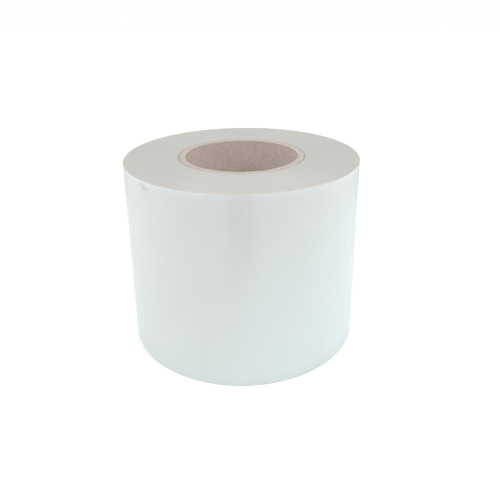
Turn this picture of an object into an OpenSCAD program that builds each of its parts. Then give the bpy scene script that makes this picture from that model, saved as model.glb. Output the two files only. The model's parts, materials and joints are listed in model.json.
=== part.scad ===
// Roll of clear sealing film on a spiral-wound paperboard core, standing on its end.
// Origin: centre of the lower end. +Z is the axis of the roll. Sizes in millimetres.

/* [Core] */
// Bore of the core, which is the standard 3 inch size
core_bore_d = 76; // [25:0.5:120]
// Wall of the core
core_wall = 4.25; // [1.5:0.05:12]
// How far each end of the core stands out of the winding
core_overhang = 0; // [0:0.1:5]
// Ease on the four edges of the core's cut ends
core_ease = 0.4; // [0.1:0.05:0.7]

/* [Film] */
// Width of the film
film_w = 125; // [30:1:400]
// Outside diameter of the winding
roll_d = 157; // [150:1:400]
// Thickness of the film, which is the step where its outer end lies on the turn below
film_gauge = 0.05; // [0.02:0.01:0.3]
// Direction of the film's outer end seen from above, anticlockwise from +X
tail_angle = 118; // [0:1:359]

/* [Smoothness] */
// Facets of a full circle in the preview
round_fn = 180; // [60:12:360]

/* [Hidden] */
core_d = core_bore_d + 2 * core_wall;
core_l = film_w + 2 * core_overhang;
board_colour = [0.78, 0.74, 0.69];
film_colour = [0.86, 0.89, 0.89, 0.9];

// Half section of the core, square-cut at both ends with its edges eased
module core_section() {
    translate([core_bore_d / 2, 0])
        polygon([
            [core_ease, 0],
            [core_wall - core_ease, 0],
            [core_wall, core_ease],
            [core_wall, core_l - core_ease],
            [core_wall - core_ease, core_l],
            [core_ease, core_l],
            [0, core_l - core_ease],
            [0, core_ease]
        ]);
}

// Half of the plan, on the side of the X axis that side_sign gives
module half_plan(side_sign) {
    translate([-roll_d, side_sign > 0 ? 0 : -roll_d])
        square([2 * roll_d, roll_d]);
}

// Plan of the winding's outermost turn, with the cut end on +X.
// Two half circles join smoothly on -X. On +X the second one has sunk by one gauge,
// so the film's end leaves a radial step as high as the film is thick.
module turn_plan() {
    intersection() {
        circle(d = roll_d, $fn = round_fn);
        half_plan(1);
    }
    intersection() {
        translate([-film_gauge / 2, 0])
            circle(d = roll_d - film_gauge, $fn = round_fn);
        half_plan(-1);
    }
}

// The tube that the film is wound on
module core_tube() {
    color(board_colour)
        rotate_extrude($fn = round_fn)
            core_section();
}

// All the turns of film, wound tight on the core
module film_winding() {
    color(film_colour)
        translate([0, 0, core_overhang])
            rotate([0, 0, tail_angle])
                linear_extrude(film_w)
                    difference() {
                        turn_plan();
                        circle(d = core_d, $fn = round_fn);
                    }
}

core_tube();
film_winding();
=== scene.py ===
import json
import math
import random
import bmesh
import bpy
from mathutils import Matrix, Vector, noise


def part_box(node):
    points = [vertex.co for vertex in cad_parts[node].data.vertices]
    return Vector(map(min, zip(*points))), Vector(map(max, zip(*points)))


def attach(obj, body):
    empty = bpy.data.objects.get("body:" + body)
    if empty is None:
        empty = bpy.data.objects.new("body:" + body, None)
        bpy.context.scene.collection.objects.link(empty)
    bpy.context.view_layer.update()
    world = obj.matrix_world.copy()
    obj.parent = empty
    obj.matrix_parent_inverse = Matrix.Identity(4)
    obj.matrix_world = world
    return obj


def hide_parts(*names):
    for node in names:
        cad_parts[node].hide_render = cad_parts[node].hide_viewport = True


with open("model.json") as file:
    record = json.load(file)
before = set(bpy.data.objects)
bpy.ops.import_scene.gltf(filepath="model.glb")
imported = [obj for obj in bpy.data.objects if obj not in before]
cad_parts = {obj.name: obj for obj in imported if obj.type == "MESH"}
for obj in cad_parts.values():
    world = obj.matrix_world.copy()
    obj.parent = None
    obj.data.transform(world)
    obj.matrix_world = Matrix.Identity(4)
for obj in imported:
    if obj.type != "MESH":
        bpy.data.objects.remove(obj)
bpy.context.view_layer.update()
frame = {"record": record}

mm = 0.001
weldWithin = 0.0001 * mm

# Main sizes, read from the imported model
windingLow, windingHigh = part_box("film_winding")
coreLow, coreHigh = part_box("core_tube")
mounts = {mount["name"]: mount for mount in frame["record"]["mounts"]}
rollRadius = (windingHigh[0] - windingLow[0]) / 2
coreRadius = (coreHigh[0] - coreLow[0]) / 2
boreRadius = mounts["core_bore"]["dims"]["r_mm"] * mm
rollTop = windingHigh[2]
rollBottom = windingLow[2]
coreTop = coreHigh[2]
coreBottom = coreLow[2]
print("frame: roll radius", round(rollRadius, 4), "core radius", round(coreRadius, 4),
      "top", round(rollTop, 4))


def srgb(red, green, blue):
    # 8-bit screen colour to the linear colour that shaders use
    def linear(value):
        value = value / 255
        return value / 12.92 if value <= 0.04045 else ((value + 0.055) / 1.055) ** 2.4
    return (linear(red), linear(green), linear(blue), 1.0)


def smooth(value):
    value = min(max(value, 0.0), 1.0)
    return value * value * (3 - 2 * value)


def around(bearing):
    # unit direction in plan, bearing in radians anticlockwise from +X
    return Vector((math.cos(bearing), math.sin(bearing), 0))


def wobble(direction, spread, along):
    # smooth noise from 0 to 1, over the bearing and one more measure
    return 0.5 + 0.5 * noise.noise(Vector((direction.x * spread, direction.y * spread, along)))


def weld(mesh):
    work = bmesh.new()
    work.from_mesh(mesh)
    bmesh.ops.remove_doubles(work, verts=work.verts, dist=weldWithin)
    bmesh.ops.recalc_face_normals(work, faces=work.faces)
    work.to_mesh(mesh)
    work.free()


def revolve(name, section, bearings, place):
    # Sweeps a closed section round the axis. place() puts one point of it at one bearing.
    # The last bearing closes on the first, and points that land together are welded.
    vertices = []
    faces = []
    slots = []
    count = len(section)
    for column in range(len(bearings)):
        for point in section:
            vertices.append(place(column, point))
    for column in range(len(bearings)):
        following = (column + 1) % len(bearings)
        for row in range(count):
            above = (row + 1) % count
            faces.append((
                column * count + row,
                following * count + row,
                following * count + above,
                column * count + above,
            ))
            slots.append(section[row]["slot"])
    mesh = bpy.data.meshes.new(name)
    mesh.from_pydata(vertices, [], faces)
    mesh.polygons.foreach_set("material_index", slots)
    piece = bpy.data.objects.new(name, mesh)
    bpy.context.scene.collection.objects.link(piece)
    weld(mesh)
    for polygon in mesh.polygons:
        polygon.use_smooth = True
    return piece


# Camera: fitted to the edges of both ends of the roll in the picture
camera = {
    "pictureSize": 500,  # pixels, both ways
    "focalPixels": 521.4,
    "axisRow": 184,  # picture row that the lens axis meets
    "place": (0.0, -0.33920, 0.22239),
    "pitch": 19.29,  # degrees below the horizon
    "yaw": 0.92,  # degrees to the right of +Y
    "roll": -0.54,
    "sensor": 36.0,
    "clip": (0.01, 50.0),
}


def makeCamera():
    data = bpy.data.cameras.new("camera")
    data.sensor_width = camera["sensor"]
    data.lens = camera["focalPixels"] / camera["pictureSize"] * camera["sensor"]
    data.shift_y = (camera["axisRow"] - camera["pictureSize"] / 2) / camera["pictureSize"]
    data.clip_start, data.clip_end = camera["clip"]
    view = bpy.data.objects.new("camera", data)
    bpy.context.scene.collection.objects.link(view)
    pitch = math.radians(camera["pitch"])
    yaw = math.radians(camera["yaw"])
    turn = Matrix.Rotation(-yaw, 4, "Z") @ Matrix.Rotation(math.pi / 2 - pitch, 4, "X")
    turn = turn @ Matrix.Rotation(math.radians(camera["roll"]), 4, "Z")
    view.matrix_world = Matrix.Translation(camera["place"]) @ turn
    bpy.context.scene.camera = view
    print("camera: lens", round(data.lens, 2), "shift", round(data.shift_y, 3))


makeCamera()


# The winding: all turns of film, with groups of turns that stand a little proud on both ends,
# gauge bands on the outside, the outer end of the film at the back and a small air pocket
winding = {
    "columns": 264,
    "sideRows": 112,
    "cornerRadius": 0.04 * mm,
    "cornerSteps": 3,
    "cornerInset": 0.12 * mm,  # a row this close to each corner keeps its shading narrow
    "gauge": 0.05 * mm,
    "tailBearing": math.radians(118),
    "coreGap": 0.02 * mm,
    "bandWidths": (0.35 * mm, 1.6 * mm),  # of the groups of turns
    "bandProud": 0.012 * mm,
    "bandEdge": 0.04 * mm,
    "faceWander": 0.02 * mm,  # slow rise and fall of an end across the turns
    "faceLength": 14 * mm,
    "faceRound": 0.6,  # how much it changes round the roll
    "hoopDepth": 0.07 * mm,
    "hoopLength": 13 * mm,
    "hoopRound": 0.4,
    "rippleDepth": 0.02 * mm,
    "rippleLength": 17 * mm,  # round the roll
    "rippleRise": 60 * mm,  # up the side
    "sideFade": 3 * mm,  # how far onto the ends the unevenness of the side reaches
    "pocketColumns": 20,  # extra ones, so that the pocket has its shape
    "pocketOffset": 0.37,  # keeps them off the evenly spaced ones
    "pocketBearing": math.radians(-137),
    "pocketDrop": 3.8 * mm,  # its middle below the upper end
    "pocketHalfWidth": 6.6 * mm,
    "pocketHalfHeight": 2.9 * mm,
    "pocketLean": 0.35,
    "pocketLift": 0.01 * mm,
    "pocketLevel": (0.7, 0.5),  # its even and uneven parts
    "pocketGrain": 1.7,  # how fine the uneven part is
    "pocketSlice": 3.1,  # and which slice of the noise it takes
    "seed": 11,
}
sideSlot, endSlot = 0, 1


def turnBands(inner, outer, chance):
    # Radii where each group of turns starts and stops, and how far it stands back
    bands = []
    radius = inner
    while radius < outer:
        width = chance.uniform(*winding["bandWidths"])
        if outer - radius - width < winding["bandWidths"][0]:
            width = outer - radius
        bands.append((radius, radius + width, chance.uniform(0, winding["bandProud"])))
        radius += width
    return bands


def pocketHeight(bearing, height):
    # Share of the pocket's lift at a point of the side, highest in the middle of the pocket
    turn = (bearing - winding["pocketBearing"] + math.pi) % (2 * math.pi) - math.pi
    across = turn * rollRadius / winding["pocketHalfWidth"]
    up = (height - rollTop + winding["pocketDrop"]) / winding["pocketHalfHeight"]
    lean = up + winding["pocketLean"] * across
    even, uneven = winding["pocketLevel"]
    grain = winding["pocketGrain"]
    patch = noise.noise(Vector((across * grain, up * grain, winding["pocketSlice"])))
    return smooth(1 - across * across - lean * lean) * (even + uneven * patch)


def makeWinding():
    chance = random.Random(winding["seed"])
    corner = winding["cornerRadius"]
    inner = coreRadius + winding["coreGap"]
    ends = {side: turnBands(inner, rollRadius - corner, chance) for side in (1, -1)}
    section = []

    def add(radius, height, slot, side=0):
        # side is 1 at the upper end, -1 at the lower end and 0 between them
        fade = smooth(1 - (rollRadius - radius) / winding["sideFade"])
        section.append({
            "radius": radius, "height": height, "slot": slot, "end": side,
            "sideShare": fade if slot == endSlot else 1.0,
        })

    def addEnd(side):
        # the upper end from the rim inwards, the lower end from the core outwards
        level = rollTop if side > 0 else rollBottom
        points = []
        for start, stop, back in ends[side]:
            points.append((start + winding["bandEdge"], back))
            points.append((stop, back))
        lastBack = points[-1][1]
        points[0] = (inner, points[0][1])
        points.append((rollRadius - corner - winding["cornerInset"], lastBack))
        points.sort(key=lambda point: point[0])
        if side > 0:
            points.reverse()
        for radius, back in points:
            add(radius, level - side * back, endSlot, side)

    def addCorner(side):
        level = rollTop if side > 0 else rollBottom
        back = ends[side][-1][2]
        for step in range(winding["cornerSteps"]):
            angle = math.pi / 2 * (step + 0.5) / winding["cornerSteps"]
            if side < 0:
                angle = math.pi / 2 - angle
            out, up = math.cos(angle), math.sin(angle)
            height = level - side * (corner * (1 - up) + back)
            add(rollRadius - corner * (1 - out), height, sideSlot, side)

    addEnd(-1)
    addCorner(-1)
    low = rollBottom + corner + ends[-1][-1][2]
    high = rollTop - corner - ends[1][-1][2]
    inset = winding["cornerInset"] / (high - low)
    add(rollRadius, low, sideSlot)
    for row in range(winding["sideRows"] + 1):
        share = inset + (1 - 2 * inset) * row / winding["sideRows"]
        add(rollRadius, low + (high - low) * share, sideSlot)
    add(rollRadius, high, sideSlot)
    addCorner(1)
    addEnd(1)

    # evenly spaced columns from the tail once round to it again, and some more at the pocket
    shares = [column / winding["columns"] for column in range(winding["columns"] + 1)]
    pocketShare = (winding["pocketBearing"] - winding["tailBearing"]) / (2 * math.pi) % 1
    pocketSpan = winding["pocketHalfWidth"] / rollRadius / (2 * math.pi)
    for column in range(winding["pocketColumns"]):
        across = 2 * (column + winding["pocketOffset"]) / winding["pocketColumns"] - 1
        shares.append(pocketShare + pocketSpan * across)
    shares.sort()
    bearings = [winding["tailBearing"] + share * 2 * math.pi for share in shares]

    def place(column, point):
        bearing = bearings[column]
        direction = around(bearing)
        radius = point["radius"]
        height = point["height"]
        sideShare = point["sideShare"]
        if point["slot"] == endSlot:
            wander = wobble(direction, winding["faceRound"], radius / winding["faceLength"])
            height -= point["end"] * winding["faceWander"] * wander * (1 - sideShare)
        if sideShare > 0:
            hoop = wobble(direction, winding["hoopRound"], height / winding["hoopLength"])
            onSide = rollRadius / winding["rippleLength"]
            ripple = wobble(direction, onSide, height / winding["rippleRise"])
            sunk = winding["hoopDepth"] * hoop + winding["rippleDepth"] * ripple
            sunk += winding["gauge"] * shares[column]
            radius -= sunk * sideShare
            if point["slot"] == sideSlot:
                radius += winding["pocketLift"] * pocketHeight(bearing, height)
        return direction * radius + Vector((0, 0, height))

    piece = revolve("film_turns", section, bearings, place)
    print("winding:", len(piece.data.polygons), "faces,", len(ends[1]), "groups of turns on top")
    return piece


# The core: spiral-wound board, with the seam of its inner ply running up the bore as a helix
core = {
    "columns": 250,
    "boreRows": 96,
    "outerRows": 72,  # the columns climb as a helix, so the outside needs rows too
    "boreInset": 0.0025,  # share of the bore between its rims and the rows next to them
    "ease": 0.4 * mm,
    "easePoint": 0.25,  # share of the ease, in and down, where its middle point lies
    "plies": 9,
    "plyGroove": 0.07 * mm,
    "plyFlat": (0.25, 0.75),  # where the flat between two grooves starts and stops
    "plyPitch": 111 * mm,  # rise of the seam in one turn
    "seamBearing": math.radians(-72),  # where it reaches the upper end
    "seamWidth": 0.7 * mm,
    "seamFlat": 0.5,  # share of its width that is at its full depth
    "seamDepth": 0.32 * mm,
    "nickWidth": 3.2 * mm,
    "nickReach": 1.3 * mm,  # outwards from the bore
    "nickSteep": 1.6,
    "nickDepth": 0.45 * mm,
    "swell": 0.09 * mm,
    "swellRound": 1.3,
    "swellLength": 40 * mm,
    "fuzz": 0.05 * mm,
    "fuzzRound": 9,
    "fuzzRise": 4 * mm,
    "fuzzAcross": 0.7 * mm,
}
faceSlot, cutSlot = 0, 1


def makeCore():
    ease = core["ease"]
    edge = ease * core["easePoint"]
    plySpan = coreRadius - boreRadius - 2 * ease
    straight = coreTop - coreBottom - 2 * ease
    section = []

    def add(radius, height, slot, kind):
        section.append({"radius": radius, "height": height, "slot": slot, "kind": kind})

    shares = [row / core["boreRows"] for row in range(core["boreRows"] + 1)]
    shares = sorted(shares + [core["boreInset"], 1 - core["boreInset"]])
    for share in shares:
        add(boreRadius, coreBottom + ease + straight * share, faceSlot, "bore")
    for side in (1, -1):
        level = coreTop if side > 0 else coreBottom
        marks = [(boreRadius + edge, edge)]
        for ply in range(core["plies"]):
            at = boreRadius + ease + plySpan * ply / core["plies"]
            marks.append((at, core["plyGroove"] if ply > 0 else 0.0))
            for share in core["plyFlat"]:
                marks.append((at + plySpan / core["plies"] * share, 0.0))
        marks.append((coreRadius - ease, 0.0))
        marks.append((coreRadius - edge, edge))
        if side < 0:
            marks.reverse()
        for radius, sunk in marks:
            add(radius, level - side * sunk, cutSlot, "cut")
        if side > 0:
            for row in range(core["outerRows"] + 1):
                drop = ease + straight * row / core["outerRows"]
                add(coreRadius, coreTop - drop, faceSlot, "outer")

    # columns evenly round from the seam, with four close together across it
    half = core["seamWidth"] / 2 / boreRadius
    flat = half * core["seamFlat"]
    bearings = [-half, -flat, flat, half]
    for column in range(1, core["columns"]):
        bearings.append(half + (2 * math.pi - 2 * half) * column / core["columns"])

    def place(column, point):
        offset = bearings[column]
        lift = (point["height"] - coreTop) / core["plyPitch"] * 2 * math.pi
        direction = around(core["seamBearing"] + offset + lift)
        radius = point["radius"]
        height = point["height"]
        swell = wobble(direction, core["swellRound"], height / core["swellLength"])
        fibreAt = height / core["fuzzRise"] + radius / core["fuzzAcross"]
        fuzz = wobble(direction, core["fuzzRound"], fibreAt)
        if point["kind"] == "bore":
            radius += core["swell"] * swell + core["fuzz"] * fuzz
            if abs(offset) < (flat + half) / 2:
                radius += core["seamDepth"]
        if point["kind"] == "cut":
            nearTop = point["height"] > (coreTop + coreBottom) / 2
            height -= (1 if nearTop else -1) * core["fuzz"] * fuzz
            along = ((offset + math.pi) % (2 * math.pi) - math.pi) * boreRadius
            inward = 1 - (radius - boreRadius) / core["nickReach"]
            if nearTop and inward > 0 and -half * boreRadius < along < core["nickWidth"]:
                deep = smooth(inward * core["nickSteep"])
                height -= core["nickDepth"] * deep * smooth(2 - 2 * along / core["nickWidth"])
        return direction * radius + Vector((0, 0, height))

    piece = revolve("board_core", section, bearings, place)
    print("core:", len(piece.data.polygons), "faces")
    return piece


filmTurns = makeWinding()
boardCore = makeCore()


def addNode(tree, kind, inputs=None, **settings):
    node = tree.nodes.new(kind)
    for name, value in settings.items():
        setattr(node, name, value)
    for socket, value in (inputs or {}).items():
        if isinstance(value, bpy.types.NodeSocket):
            tree.links.new(value, node.inputs[socket])
        else:
            node.inputs[socket].default_value = value
    return node


def calc(tree, operation, first, second=0.0, clamp=False):
    inputs = {0: first, 1: second}
    return addNode(tree, "ShaderNodeMath", inputs, operation=operation, use_clamp=clamp).outputs[0]


def plus(tree, base, mask, amount, clamp=False):
    # base and so much of the mask
    return calc(tree, "ADD", base, calc(tree, "MULTIPLY", mask, amount), clamp)


def remap(tree, value, low, high, toLow=0.0, toHigh=1.0):
    inputs = {0: value, 1: low, 2: high, 3: toLow, 4: toHigh}
    node = addNode(tree, "ShaderNodeMapRange", inputs, interpolation_type="SMOOTHSTEP", clamp=True)
    return node.outputs[0]


def mixColour(tree, share, first, second):
    node = addNode(tree, "ShaderNodeMix", {"Factor": share}, data_type="RGBA")
    for socket, value in ((node.inputs[6], first), (node.inputs[7], second)):
        if isinstance(value, bpy.types.NodeSocket):
            tree.links.new(value, socket)
        else:
            socket.default_value = value
    return node.outputs[2]


def tint(tree, colour, mask, share, other):
    # where the mask is 1, so much of the way to the other colour
    return mixColour(tree, calc(tree, "MULTIPLY", mask, share), colour, other)


def objectPlace(tree):
    return addNode(tree, "ShaderNodeTexCoord").outputs["Object"]


def split(tree, vector):
    return addNode(tree, "ShaderNodeSeparateXYZ", {0: vector}).outputs


def join(tree, x, y, z=0.0):
    return addNode(tree, "ShaderNodeCombineXYZ", {0: x, 1: y, 2: z}).outputs[0]


def vectorCalc(tree, operation, inputs, output="Vector"):
    return addNode(tree, "ShaderNodeVectorMath", inputs, operation=operation).outputs[output]


def lengthOf(tree, vector):
    return vectorCalc(tree, "LENGTH", {0: vector}, "Value")


def localPlace(tree, place, inputs):
    # the same place measured from a moved, turned and scaled origin
    inputs = {"Vector": place, **inputs}
    return addNode(tree, "ShaderNodeMapping", inputs, vector_type="TEXTURE").outputs[0]


def noiseAt(tree, vector, scale, detail, roughness=0.5):
    inputs = {"Vector": vector, "Scale": scale, "Detail": detail, "Roughness": roughness}
    return addNode(tree, "ShaderNodeTexNoise", inputs).outputs[0]


def newGroup(name, inputs, outputs):
    group = bpy.data.node_groups.new(name, "ShaderNodeTree")
    for label, kind, default in inputs:
        socket = group.interface.new_socket(name=label, in_out="INPUT", socket_type=kind)
        if default is not None:
            socket.default_value = default
    for label, kind in outputs:
        group.interface.new_socket(name=label, in_out="OUTPUT", socket_type=kind)
    given = group.nodes.new("NodeGroupInput").outputs
    return group, given, group.nodes.new("NodeGroupOutput").inputs


def useGroup(tree, group, inputs=None):
    return addNode(tree, "ShaderNodeGroup", inputs, node_tree=group).outputs


def makeRollPlaces():
    # Where a point is on the roll: radius and height in millimetres, and bearing as a unit vector
    group, _, out = newGroup("rollPlaces", [], [
        ("Radius", "NodeSocketFloat"), ("Height", "NodeSocketFloat"),
        ("Bearing", "NodeSocketVector"),
    ])
    parts = split(group, objectPlace(group))
    flat = join(group, parts[0], parts[1])
    group.links.new(calc(group, "MULTIPLY", lengthOf(group, flat), 1 / mm), out["Radius"])
    group.links.new(calc(group, "MULTIPLY", parts[2], 1 / mm), out["Height"])
    group.links.new(vectorCalc(group, "NORMALIZE", {0: flat}), out["Bearing"])
    return group


# Lines and bands that repeat along one measure
lineNoise = {
    "fineDetail": (2.0, 0.6),
    "fineRange": (0.3, 0.7),
    "coarseShare": 0.13,  # how much more slowly the bands change than the lines
    "coarseDetail": 2.0,
    "coarseRange": (0.35, 0.65),
}


def makeTurnLines():
    # Lines along one measure, such as the radius, that wander a little round the roll
    group, given, out = newGroup("turnLines", [
        ("Along", "NodeSocketFloat", 0.0), ("Bearing", "NodeSocketVector", None),
        ("Spacing", "NodeSocketFloat", 1.0), ("Wander", "NodeSocketFloat", 0.3),
    ], [("Lines", "NodeSocketFloat"), ("Bands", "NodeSocketFloat")])
    scaled = calc(group, "DIVIDE", given["Along"], given["Spacing"])
    spread = vectorCalc(group, "SCALE", {0: given["Bearing"], 3: given["Wander"]})
    parts = split(group, spread)
    slower = calc(group, "MULTIPLY", scaled, lineNoise["coarseShare"])
    fine = noiseAt(group, join(group, parts[0], parts[1], scaled), 1.0, *lineNoise["fineDetail"])
    coarse = noiseAt(group, join(group, parts[0], parts[1], slower), 1.0, lineNoise["coarseDetail"])
    group.links.new(remap(group, fine, *lineNoise["fineRange"]), out["Lines"])
    group.links.new(remap(group, coarse, *lineNoise["coarseRange"]), out["Bands"])
    return group


# Clouds and flecks, whose sizes each material gives in millimetres
mottleNoise = {
    "cloudDetail": 3.0,
    "cloudRange": (0.32, 0.68),
    "fleckDetail": (4.0, 0.65),
    "fleckRange": (0.3, 0.7),
}


def makeMottle():
    # Soft clouds and small flecks, as in haze on film or fibres in board
    group, given, out = newGroup("mottle", [
        ("Cloud Size", "NodeSocketFloat", 20.0), ("Fleck Size", "NodeSocketFloat", 1.0),
        ("Stretch", "NodeSocketVector", (1.0, 1.0, 1.0)),
    ], [("Clouds", "NodeSocketFloat"), ("Flecks", "NodeSocketFloat")])
    stretched = vectorCalc(group, "MULTIPLY", {0: objectPlace(group), 1: given["Stretch"]})
    perCloud = calc(group, "DIVIDE", 1 / mm, given["Cloud Size"])
    perFleck = calc(group, "DIVIDE", 1 / mm, given["Fleck Size"])
    clouds = noiseAt(group, stretched, perCloud, mottleNoise["cloudDetail"])
    flecks = noiseAt(group, stretched, perFleck, *mottleNoise["fleckDetail"])
    group.links.new(remap(group, clouds, *mottleNoise["cloudRange"]), out["Clouds"])
    group.links.new(remap(group, flecks, *mottleNoise["fleckRange"]), out["Flecks"])
    return group


rollPlaces = makeRollPlaces()
turnLines = makeTurnLines()
mottle = makeMottle()


def linesAlong(tree, where, measure, settings):
    inputs = {"Along": where[measure], "Bearing": where["Bearing"], **settings}
    return useGroup(tree, turnLines, inputs)


def newMaterial(name, fixed):
    # A Principled material. What is the same all over it is on the shader's own sockets.
    material = bpy.data.materials.new(name)
    material.use_nodes = True
    shader = material.node_tree.nodes["Principled BSDF"]
    for label, value in fixed.items():
        shader.inputs[label].default_value = value
    return material, material.node_tree, shader


def addSurface(tree, shader, colour, rough, height, bump):
    strength, depth = bump
    inputs = {"Strength": strength, "Distance": depth, "Height": height}
    normal = addNode(tree, "ShaderNodeBump", inputs).outputs[0]
    for value, label in ((colour, "Base Color"), (rough, "Roughness"), (normal, "Normal")):
        tree.links.new(value, shader.inputs[label])


# Outside of the winding: glossy, hazy clear film over many turns of itself
filmLook = {
    "shader": {
        "IOR": 1.6,
        "Specular IOR Level": 1.0,
        "Specular Tint": (0.62, 0.9, 1.0, 1.0),
        "Coat Roughness": 0.12,
        "Coat IOR": 1.6,
        "Coat Tint": (0.93, 0.985, 1.0, 1.0),
        "Subsurface Weight": 0.2,
        "Subsurface Scale": 0.008,
        "Subsurface Radius": (0.8, 1.0, 1.1),
        "Sheen Weight": 0.2,
        "Sheen Roughness": 0.3,
        "Sheen Tint": (0.45, 0.82, 1.0, 1.0),
    },
    "hoops": {"Spacing": 0.9, "Wander": 0.5},
    "clouds": {"Cloud Size": 55.0, "Fleck Size": 6.0, "Stretch": (1.0, 1.0, 0.35)},
    "cool": srgb(221, 231, 232),
    "grey": srgb(217, 215, 211),
    "paintedCoolLightSlope": (3.6, 0.9, -5.0),  # per metre: painted light, so the film is tinted cooler to the right and lower down, as bluish light from around it would tint it
    "coolStart": 0.4,
    "coolClouds": 0.25,
    "line": srgb(188, 196, 196),
    "lineShare": 0.025,
    # painted highlight: a lighter, bluer band along the side next to each corner
    "rim": srgb(224, 230, 232),
    "rimShare": 0.1,
    "rimWidth": (1.2, 4.0),  # millimetres, over which it fades
    "pocket": srgb(180, 180, 178),
    "pocketShare": 0.6,
    "pocketDepth": 6 * mm,
    "pocketFade": (0.25, 1.05),  # over which it fades, in half widths
    "pocketRagged": 0.35,
    "tail": srgb(198, 205, 205),
    "tailShare": 0.7,
    "tailWidth": (0.14, 0.35),  # millimetres, over which it fades
    "rough": 0.2,
    "roughLines": 0.06,
    "roughPocket": 0.1,
    "coat": 0.4,
    "coatClouds": -0.15,
    "bumpLines": 0.25,
    "bumpFlecks": 0.5,
    "bumpTail": 1.5,
    "bump": (0.25, 0.04 * mm),  # strength and depth
}


def makeFilmSide():
    material, tree, shader = newMaterial("filmSide", filmLook["shader"])
    where = useGroup(tree, rollPlaces)
    hoops = linesAlong(tree, where, "Height", filmLook["hoops"])
    clouds = useGroup(tree, mottle, filmLook["clouds"])
    place = objectPlace(tree)
    # painted light: cooler to the right and lower down by place, standing in for bluish light from
    # around the roll; the clouds add haze of random tone
    paintedCoolLight = vectorCalc(tree, "DOT_PRODUCT", {0: place, 1: filmLook["paintedCoolLightSlope"]}, "Value")
    cool = calc(tree, "ADD", paintedCoolLight, filmLook["coolStart"])
    cool = plus(tree, cool, clouds["Clouds"], filmLook["coolClouds"], clamp=True)
    colour = mixColour(tree, cool, filmLook["grey"], filmLook["cool"])
    colour = tint(tree, colour, hoops["Lines"], filmLook["lineShare"], filmLook["line"])

    # painted highlight: a lighter, bluer band along the side next to each corner, where the corners
    # catch light
    fromTop = calc(tree, "SUBTRACT", rollTop / mm, where["Height"])
    nearest = calc(tree, "MINIMUM", fromTop, where["Height"])
    rim = remap(tree, nearest, *filmLook["rimWidth"], 1.0, 0.0)
    colour = tint(tree, colour, rim, filmLook["rimShare"], filmLook["rim"])

    # the air pocket, greyer where the outermost turn is off the one below
    middle = around(winding["pocketBearing"]) * rollRadius
    inPocket = split(tree, localPlace(tree, place, {
        "Location": (middle.x, middle.y, rollTop - winding["pocketDrop"]),
        "Rotation": (0.0, 0.0, winding["pocketBearing"]),
        "Scale": (filmLook["pocketDepth"], winding["pocketHalfWidth"], winding["pocketHalfHeight"]),
    }))
    leaning = plus(tree, inPocket[2], inPocket[1], winding["pocketLean"])
    reach = lengthOf(tree, join(tree, inPocket[0], inPocket[1], leaning))
    fleck = calc(tree, "SUBTRACT", clouds["Flecks"], 0.5)
    ragged = plus(tree, reach, fleck, filmLook["pocketRagged"])
    pocket = remap(tree, ragged, *filmLook["pocketFade"], 1.0, 0.0)
    colour = tint(tree, colour, pocket, filmLook["pocketShare"], filmLook["pocket"])

    # the cut end of the film, a thin line down the back
    rotation = {"Rotation": (0.0, 0.0, winding["tailBearing"])}
    fromTail = split(tree, localPlace(tree, place, rotation))
    sideways = calc(tree, "ABSOLUTE", calc(tree, "MULTIPLY", fromTail[1], 1 / mm))
    line = remap(tree, sideways, *filmLook["tailWidth"], 1.0, 0.0)
    line = calc(tree, "MULTIPLY", line, calc(tree, "GREATER_THAN", fromTail[0], 0.0))
    colour = tint(tree, colour, line, filmLook["tailShare"], filmLook["tail"])

    rough = plus(tree, filmLook["rough"], hoops["Lines"], filmLook["roughLines"])
    rough = plus(tree, rough, pocket, filmLook["roughPocket"])
    coat = plus(tree, filmLook["coat"], clouds["Clouds"], filmLook["coatClouds"])
    tree.links.new(coat, shader.inputs["Coat Weight"])
    height = calc(tree, "MULTIPLY", hoops["Lines"], filmLook["bumpLines"])
    height = plus(tree, height, clouds["Flecks"], filmLook["bumpFlecks"])
    height = plus(tree, height, line, filmLook["bumpTail"])
    addSurface(tree, shader, colour, rough, height, filmLook["bump"])
    return material


# Ends of the winding: the slit edges of every turn, which scatter light and look satin
endLook = {
    "shader": {
        "IOR": 1.5,
        "Specular IOR Level": 0.5,
        "Anisotropic": 0.97,
        "Anisotropic Rotation": 0.25,
        "Subsurface Weight": 0.15,
        "Subsurface Scale": 0.004,
        "Subsurface Radius": (1.0, 1.0, 0.9),
    },
    "turns": {"Spacing": 0.3, "Wander": 0.1},
    "clouds": {"Cloud Size": 30.0, "Fleck Size": 1.5},
    "plain": srgb(190, 190, 185),
    "warm": srgb(186, 185, 179),
    "warmShare": 0.2,
    "pale": srgb(196, 196, 192),
    "paleShare": 0.12,
    # painted shade: the end is darker next to the core, for the shade in the gap between film and
    # core
    "gapShade": srgb(163, 168, 168),
    "gapShadeShare": 0.8,
    "gapShadeWidth": (0.25, 1.1),  # millimetres out from the core, over which it fades
    "rim": srgb(194, 187, 173),
    "rimShare": 0.85,
    "rimWidth": (1.4, 0.2),  # millimetres in from the rim, over which it comes
    "rough": 0.3,
    "roughLines": 0.04,
    "bumpFlecks": 0.2,
    "bump": (0.2, 0.04 * mm),
}


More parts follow.
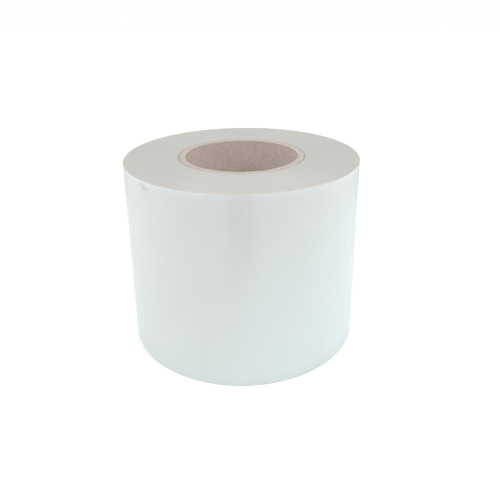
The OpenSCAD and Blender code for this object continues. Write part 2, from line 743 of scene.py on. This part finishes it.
def makeFilmEnd():
    material, tree, shader = newMaterial("filmEnd", endLook["shader"])
    where = useGroup(tree, rollPlaces)
    turns = linesAlong(tree, where, "Radius", endLook["turns"])
    clouds = useGroup(tree, mottle, endLook["clouds"])
    colour = mixColour(tree, turns["Lines"], endLook["warm"], endLook["plain"])
    colour = tint(tree, colour, turns["Bands"], endLook["paleShare"], endLook["pale"])
    colour = tint(tree, colour, clouds["Clouds"], endLook["warmShare"], endLook["warm"])
    # painted shade of the gap between film and core, darkest right by the core
    start, stop = [coreRadius / mm + out for out in endLook["gapShadeWidth"]]
    gapShade = remap(tree, where["Radius"], start, stop, 1.0, 0.0)
    colour = tint(tree, colour, gapShade, endLook["gapShadeShare"], endLook["gapShade"])
    start, stop = [rollRadius / mm - back for back in endLook["rimWidth"]]
    rim = remap(tree, where["Radius"], start, stop)
    colour = tint(tree, colour, rim, endLook["rimShare"], endLook["rim"])
    rough = plus(tree, endLook["rough"], turns["Lines"], endLook["roughLines"])
    tangent = addNode(tree, "ShaderNodeTangent", direction_type="RADIAL", axis="Z").outputs[0]
    tree.links.new(tangent, shader.inputs["Tangent"])
    height = plus(tree, turns["Lines"], clouds["Flecks"], endLook["bumpFlecks"])
    addSurface(tree, shader, colour, rough, height, endLook["bump"])
    return material


# Faces of the core, inside and outside: smooth grey-brown recycled paper
faceLook = {
    "shader": {"IOR": 1.45, "Specular IOR Level": 0.25},
    "clouds": {"Cloud Size": 2.0, "Fleck Size": 0.8},
    "fibres": {"Cloud Size": 2.2, "Fleck Size": 0.55, "Stretch": (1.0, 1.0, 2.6)},
    "plain": srgb(217, 204, 195),
    "plainShare": 0.35,
    "dark": srgb(194, 180, 171),
    "darkShare": 0.3,
    "fibre": srgb(130, 110, 98),
    "fibreShare": 0.14,
    "fibreRange": (0.3, 0.0),  # the dark fibres come where the clouds are at their lowest
    "rough": 0.75,
    "roughFibres": 0.15,
    "bumpFibres": 0.6,
    "bump": (0.5, 0.2 * mm),
}


def makeBoardFace():
    material, tree, shader = newMaterial("boardFace", faceLook["shader"])
    clouds = useGroup(tree, mottle, faceLook["clouds"])
    fibres = useGroup(tree, mottle, faceLook["fibres"])
    colour = mixColour(tree, clouds["Clouds"], faceLook["dark"], faceLook["plain"])
    colour = mixColour(tree, faceLook["plainShare"], colour, faceLook["plain"])
    colour = tint(tree, colour, clouds["Flecks"], faceLook["darkShare"], faceLook["dark"])
    fibre = remap(tree, fibres["Clouds"], *faceLook["fibreRange"])
    colour = tint(tree, colour, fibre, faceLook["fibreShare"], faceLook["fibre"])
    rough = plus(tree, faceLook["rough"], fibres["Flecks"], faceLook["roughFibres"])
    height = plus(tree, clouds["Flecks"], fibres["Flecks"], faceLook["bumpFibres"])
    addSurface(tree, shader, colour, rough, height, faceLook["bump"])
    return material


# Cut ends of the core: rough open board in plies, paler and darker by turns
cutLook = {
    "shader": {"IOR": 1.45, "Specular IOR Level": 0.2},
    "plies": {"Spacing": 0.7, "Wander": 0.35},
    "fibres": {"Cloud Size": 2.5, "Fleck Size": 0.5},
    "firstPly": 0.5,  # millimetres from the bore to the first pale ply
    "plyApart": 2.0,  # millimetres from one pale ply to the next
    "plyTone": 0.3,
    "plyDepth": 0.3,
    "lineDepth": 0.4,
    "plain": srgb(188, 180, 172),
    "dark": srgb(176, 166, 157),
    "darkFlecks": 0.2,
    "pale": srgb(203, 199, 193),
    "paleRange": (0.5, 1.0),
    "palePlies": 0.8,
    "paleClouds": 0.25,
    "rough": 0.85,
    "roughFlecks": 0.1,
    "bumpFlecks": 0.8,
    "bump": (0.5, 0.2 * mm),
}


def makeBoardCut():
    material, tree, shader = newMaterial("boardCut", cutLook["shader"])
    where = useGroup(tree, rollPlaces)
    plies = linesAlong(tree, where, "Radius", cutLook["plies"])
    fibres = useGroup(tree, mottle, cutLook["fibres"])
    outward = calc(tree, "SUBTRACT", where["Radius"], boreRadius / mm + cutLook["firstPly"])
    turned = calc(tree, "MULTIPLY", outward, 2 * math.pi / cutLook["plyApart"])
    wave = plus(tree, cutLook["plyTone"], calc(tree, "COSINE", turned), cutLook["plyDepth"])
    tone = plus(tree, wave, plies["Lines"], cutLook["lineDepth"], clamp=True)
    colour = mixColour(tree, tone, cutLook["dark"], cutLook["plain"])
    pale = remap(tree, tone, *cutLook["paleRange"])
    colour = tint(tree, colour, pale, cutLook["palePlies"], cutLook["pale"])
    colour = tint(tree, colour, fibres["Clouds"], cutLook["paleClouds"], cutLook["pale"])
    colour = tint(tree, colour, fibres["Flecks"], cutLook["darkFlecks"], cutLook["dark"])
    rough = plus(tree, cutLook["rough"], fibres["Flecks"], cutLook["roughFlecks"])
    height = plus(tree, plies["Lines"], fibres["Flecks"], cutLook["bumpFlecks"])
    addSurface(tree, shader, colour, rough, height, cutLook["bump"])
    return material


for material in (makeFilmSide(), makeFilmEnd()):
    filmTurns.data.materials.append(material)
for material in (makeBoardFace(), makeBoardCut()):
    boardCore.data.materials.append(material)
print("materials: film side and end, board face and cut")

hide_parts("film_winding")
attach(filmTurns, "root")
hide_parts("core_tube")
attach(boardCore, "root")


# Studio: white floor and surroundings, two strips overhead that draw the glints on the ends of the
# roll, two soft boxes in front that reach into the bore and one behind, and a dark flag and a grey
# card that only show as reflections
studio = {
    "white": (1.0, 1.0, 1.0, 1.0),
    "floorSide": 8.0,
    "floorDrop": 0.1 * mm,
    "floorGrey": 0.93,
    "floorRough": 0.9,
    "shownNear": 0.5,  # how much of what the eye sees of the floor is plain white, by the roll
    "shownFar": 1.0,  # and far off
    "shownRange": (0.15, 0.9),  # distances from the axis between which it changes
    "shownLevel": 1.12,
    "worldLevel": 0.45,
    "horizon": (0.96, 0.99, 1.0, 1.0),
    "zenith": (1.0, 1.0, 0.985, 1.0),
    "zenithFrom": 0.8,
    "lamps": {
        "stripLeft": {"place": (-0.36, 0.0, 1.18), "size": (0.07, 0.45), "watts": 1.9},
        "stripRight": {"place": (0.36, 0.0, 1.18), "size": (0.07, 0.45), "watts": 1.6},
        "boxLeft": {"place": (-1.07, -0.56, 1.05), "size": (0.6, 0.6), "watts": 9.2},
        "boxRight": {"place": (1.07, -0.56, 1.05), "size": (0.6, 0.6), "watts": 10.0},
        "boxBack": {"place": (0.1, 1.3, 0.9), "size": (0.9, 0.6), "watts": 3.2},
    },
    "flagSide": 1.0,
    "flagLift": 1 * mm,
    "flagGrey": 0.02,
    "flagNear": (0.15, 0.38),  # distances from the axis over which it darkens
    "flagEdge": (0.4, 0.5),  # and over which it fades again
    "flagMiddle": 1.5,  # degrees, to the left of straight in front
    "flagCore": (2.0, 22.0),  # degrees each side over which the dark middle fades
    "coreShare": 0.97,
    "flagShoulder": (20.0, 100.0),
    "shoulderShare": 0.22,
    "flagBack": (95.0, 150.0),  # and over which it comes back behind the roll
    "backShare": 0.3,
    "cardPlace": (0.0, 1.1, 0.5),
    "cardSize": (2.6, 0.7),
    "cardGrey": 0.35,
}


def makePlate(name, wide, high, upright=False):
    # A rectangle round its own origin, lying flat or standing up along X
    x, y = wide / 2, high / 2
    corners = [(-x, -y), (x, -y), (x, y), (-x, y)]
    if upright:
        vertices = [(across, 0, up) for across, up in corners]
    else:
        vertices = [(across, away, 0) for across, away in corners]
    mesh = bpy.data.meshes.new(name)
    mesh.from_pydata(vertices, [], [(0, 1, 2, 3)])
    plate = bpy.data.objects.new(name, mesh)
    bpy.context.scene.collection.objects.link(plate)
    return plate


def greyMaterial(name, grey, roughness=1.0):
    return newMaterial(name, {
        "Base Color": (grey, grey, grey, 1), "Roughness": roughness, "Specular IOR Level": 0.0,
    })


def mixShaders(tree, share, first, second):
    return addNode(tree, "ShaderNodeMixShader", {0: share, 1: first, 2: second}).outputs[0]


def seenMask(tree):
    # 1 for what the eye, a reflection or a clear thing shows, 0 for light that falls on things
    rays = addNode(tree, "ShaderNodeLightPath").outputs
    mirrored = calc(tree, "MAXIMUM", rays["Is Glossy Ray"], rays["Is Transmission Ray"])
    return calc(tree, "MAXIMUM", rays["Is Camera Ray"], mirrored)


def makeFloor():
    floor = makePlate("floor", studio["floorSide"], studio["floorSide"])
    floor.location.z = rollBottom - studio["floorDrop"]
    material, tree, shader = greyMaterial("floorWhite", studio["floorGrey"], studio["floorRough"])
    shown = addNode(tree, "ShaderNodeEmission", {
        "Color": studio["white"], "Strength": studio["shownLevel"],
    }).outputs[0]
    away = lengthOf(tree, objectPlace(tree))
    white = remap(tree, away, *studio["shownRange"], studio["shownNear"], studio["shownFar"])
    share = calc(tree, "MULTIPLY", seenMask(tree), white)
    both = mixShaders(tree, share, shader.outputs[0], shown)
    tree.links.new(both, tree.nodes["Material Output"].inputs["Surface"])
    floor.data.materials.append(material)


def makeWorld():
    world = bpy.data.worlds.new("studio")
    world.use_nodes = True
    tree = world.node_tree
    tree.nodes.clear()
    up = split(tree, addNode(tree, "ShaderNodeTexCoord").outputs["Generated"])[2]
    rise = remap(tree, up, 0.0, studio["zenithFrom"])
    sky = mixColour(tree, rise, studio["horizon"], studio["zenith"])
    lit = addNode(tree, "ShaderNodeBackground", {
        "Color": sky, "Strength": studio["worldLevel"],
    }).outputs[0]
    shown = addNode(tree, "ShaderNodeBackground", {
        "Color": studio["white"], "Strength": 1.0,
    }).outputs[0]
    both = mixShaders(tree, seenMask(tree), lit, shown)
    output = addNode(tree, "ShaderNodeOutputWorld")
    tree.links.new(both, output.inputs["Surface"])
    bpy.context.scene.world = world


def makeLamps():
    aim = Vector((0, 0, rollTop))
    for name, lamp in studio["lamps"].items():
        data = bpy.data.lights.new(name, "AREA")
        data.shape = "RECTANGLE"
        data.size, data.size_y = lamp["size"]
        data.energy = lamp["watts"]
        box = bpy.data.objects.new(name, data)
        box.location = lamp["place"]
        box.rotation_euler = (aim - Vector(lamp["place"])).to_track_quat("-Z", "Y").to_euler()
        bpy.context.scene.collection.objects.link(box)


def hideFromAllButReflections(thing):
    thing.visible_camera = False
    thing.visible_diffuse = False
    thing.visible_shadow = False
    thing.visible_transmission = False


def makeFlag():
    # A card on the floor all round the roll, darkest straight in front and weaker behind, that
    # fades towards the roll and at its edge. Only reflections show it, mainly as the soft dark
    # band down the front of the film.
    flag = makePlate("flag", studio["flagSide"], studio["flagSide"])
    flag.location.z = rollBottom + studio["flagLift"]
    material, tree, shader = greyMaterial("flagGrey", studio["flagGrey"])
    place = objectPlace(tree)
    parts = split(tree, place)
    distance = lengthOf(tree, place)
    bearing = calc(tree, "ARCTAN2", parts[0], calc(tree, "MULTIPLY", parts[1], -1.0))
    bearing = plus(tree, studio["flagMiddle"], bearing, 180 / math.pi)
    aside = calc(tree, "ABSOLUTE", bearing)
    middle = remap(tree, aside, *studio["flagCore"], studio["coreShare"], 0.0)
    shoulder = remap(tree, aside, *studio["flagShoulder"], studio["shoulderShare"], 0.0)
    behind = remap(tree, aside, *studio["flagBack"], 0.0, studio["backShare"])
    dark = calc(tree, "MAXIMUM", calc(tree, "MAXIMUM", middle, shoulder), behind)
    away = remap(tree, distance, *studio["flagNear"])
    edge = remap(tree, distance, *studio["flagEdge"], 1.0, 0.0)
    share = calc(tree, "MULTIPLY", dark, calc(tree, "MULTIPLY", away, edge))
    clear = addNode(tree, "ShaderNodeBsdfTransparent").outputs[0]
    both = mixShaders(tree, share, clear, shader.outputs[0])
    tree.links.new(both, tree.nodes["Material Output"].inputs["Surface"])
    flag.data.materials.append(material)
    hideFromAllButReflections(flag)


def makeCard():
    # A grey card behind the roll that keeps the ends of the winding from shining at left and right
    card = makePlate("backCard", *studio["cardSize"], upright=True)
    card.location = studio["cardPlace"]
    card.data.materials.append(greyMaterial("cardGrey", studio["cardGrey"])[0])
    hideFromAllButReflections(card)


makeFloor()
makeWorld()
makeLamps()
makeFlag()
makeCard()
bpy.context.scene.view_settings.view_transform = "Standard"
print("studio: floor, world,", len(studio["lamps"]), "lamps, a flag and a card")
